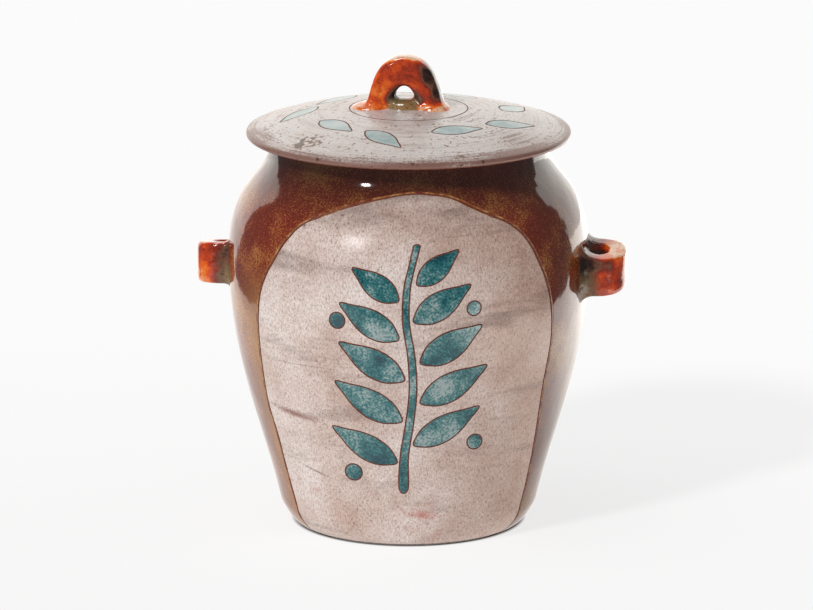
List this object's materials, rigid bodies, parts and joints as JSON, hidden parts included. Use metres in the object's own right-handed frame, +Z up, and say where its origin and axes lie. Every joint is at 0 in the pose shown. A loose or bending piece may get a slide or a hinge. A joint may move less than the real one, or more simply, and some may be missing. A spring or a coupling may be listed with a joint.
{
  "type": "lidded jar",
  "caption": "Round stoneware storage jar with loop handles on its sides and a domed lift-off lid with an arched handle.",
  "frame": {"origin": "centre of the foot on the surface it stands on", "axes": "+Z up along the jar's axis, +X towards the right-hand side handle, -Y the decorated front"},
  "size_m": [0.2645, 0.2204, 0.29],
  "materials": {
    "brown_glaze": "glossy iron-red and ochre mottled glaze",
    "orange_glaze": "glossy orange-red glaze with dark patches",
    "white_slip": "satin white slip with brush streaks",
    "bare_clay": "matt unglazed fired clay"
  },
  "bodies": {
    "jar": {"jar_body": "brown_glaze", "left_handle": "orange_glaze", "right_handle": "orange_glaze"},
    "lid": {"lid_plate": "white_slip", "lid_flange": "bare_clay", "lid_handle": "orange_glaze"}
  },
  "joints": [
    {"name": "lid_lift", "type": "slide", "parent": "jar", "child": "lid", "axis": [0, 0, 1], "range_m": [0, 0.06]}
  ]
}
